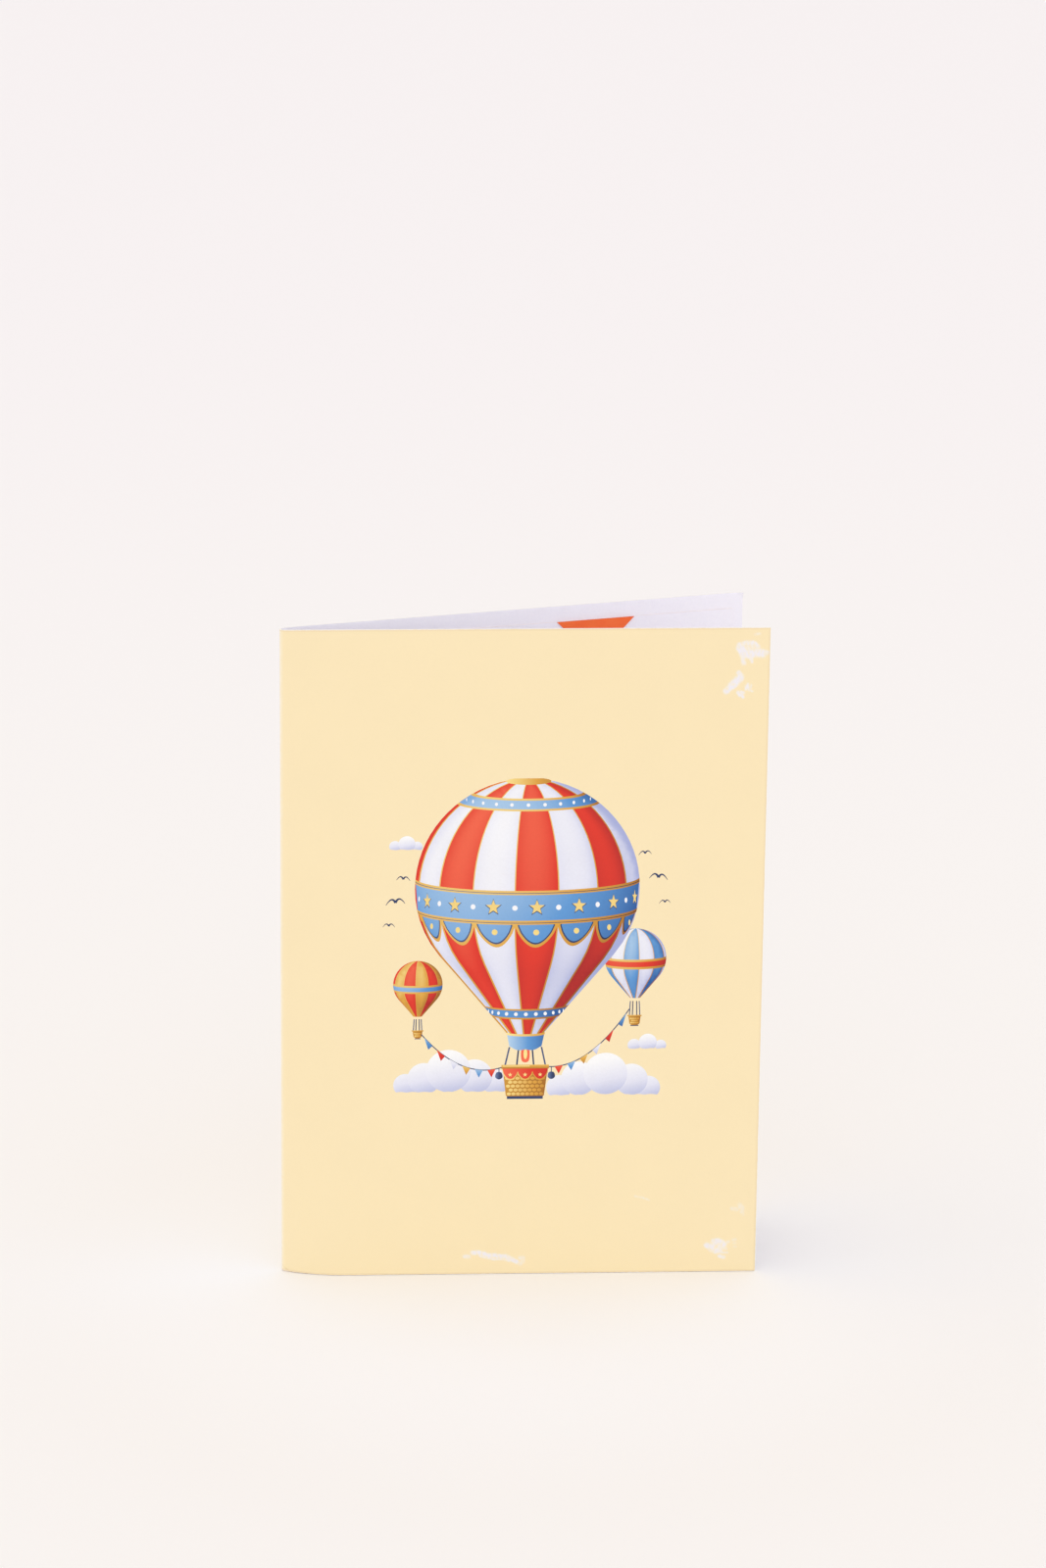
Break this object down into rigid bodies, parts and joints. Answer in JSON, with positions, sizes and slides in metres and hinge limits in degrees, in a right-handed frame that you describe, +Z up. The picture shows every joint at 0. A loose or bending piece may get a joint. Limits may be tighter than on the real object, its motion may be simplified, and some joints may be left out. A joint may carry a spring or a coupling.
{
  "type": "greeting card",
  "caption": "Folded portrait greeting card standing slightly open, cream outside and white inside, with a balloon picture on the front and a red tab inside.",
  "frame": {"origin": "middle of the footprint, on the surface the card stands on", "axes": "+Z up along the fold; the flat of the front panel lies along X and faces -Y; the fold is at the -X end and the card opens towards +X, with the back panel behind at +Y"},
  "size_m": [0.1266, 0.0372, 0.1778],
  "materials": {
    "cover_stock": "satin coated cream cover stock with a printed picture, white core at the cut edges",
    "white_paper": "matte uncoated cool white paper",
    "red_paper": "matte orange-red printed paper"
  },
  "bodies": {
    "root": {"cover": "cover_stock", "inner_sheet": "white_paper", "red_tab": "red_paper"}
  },
  "joints": []
}
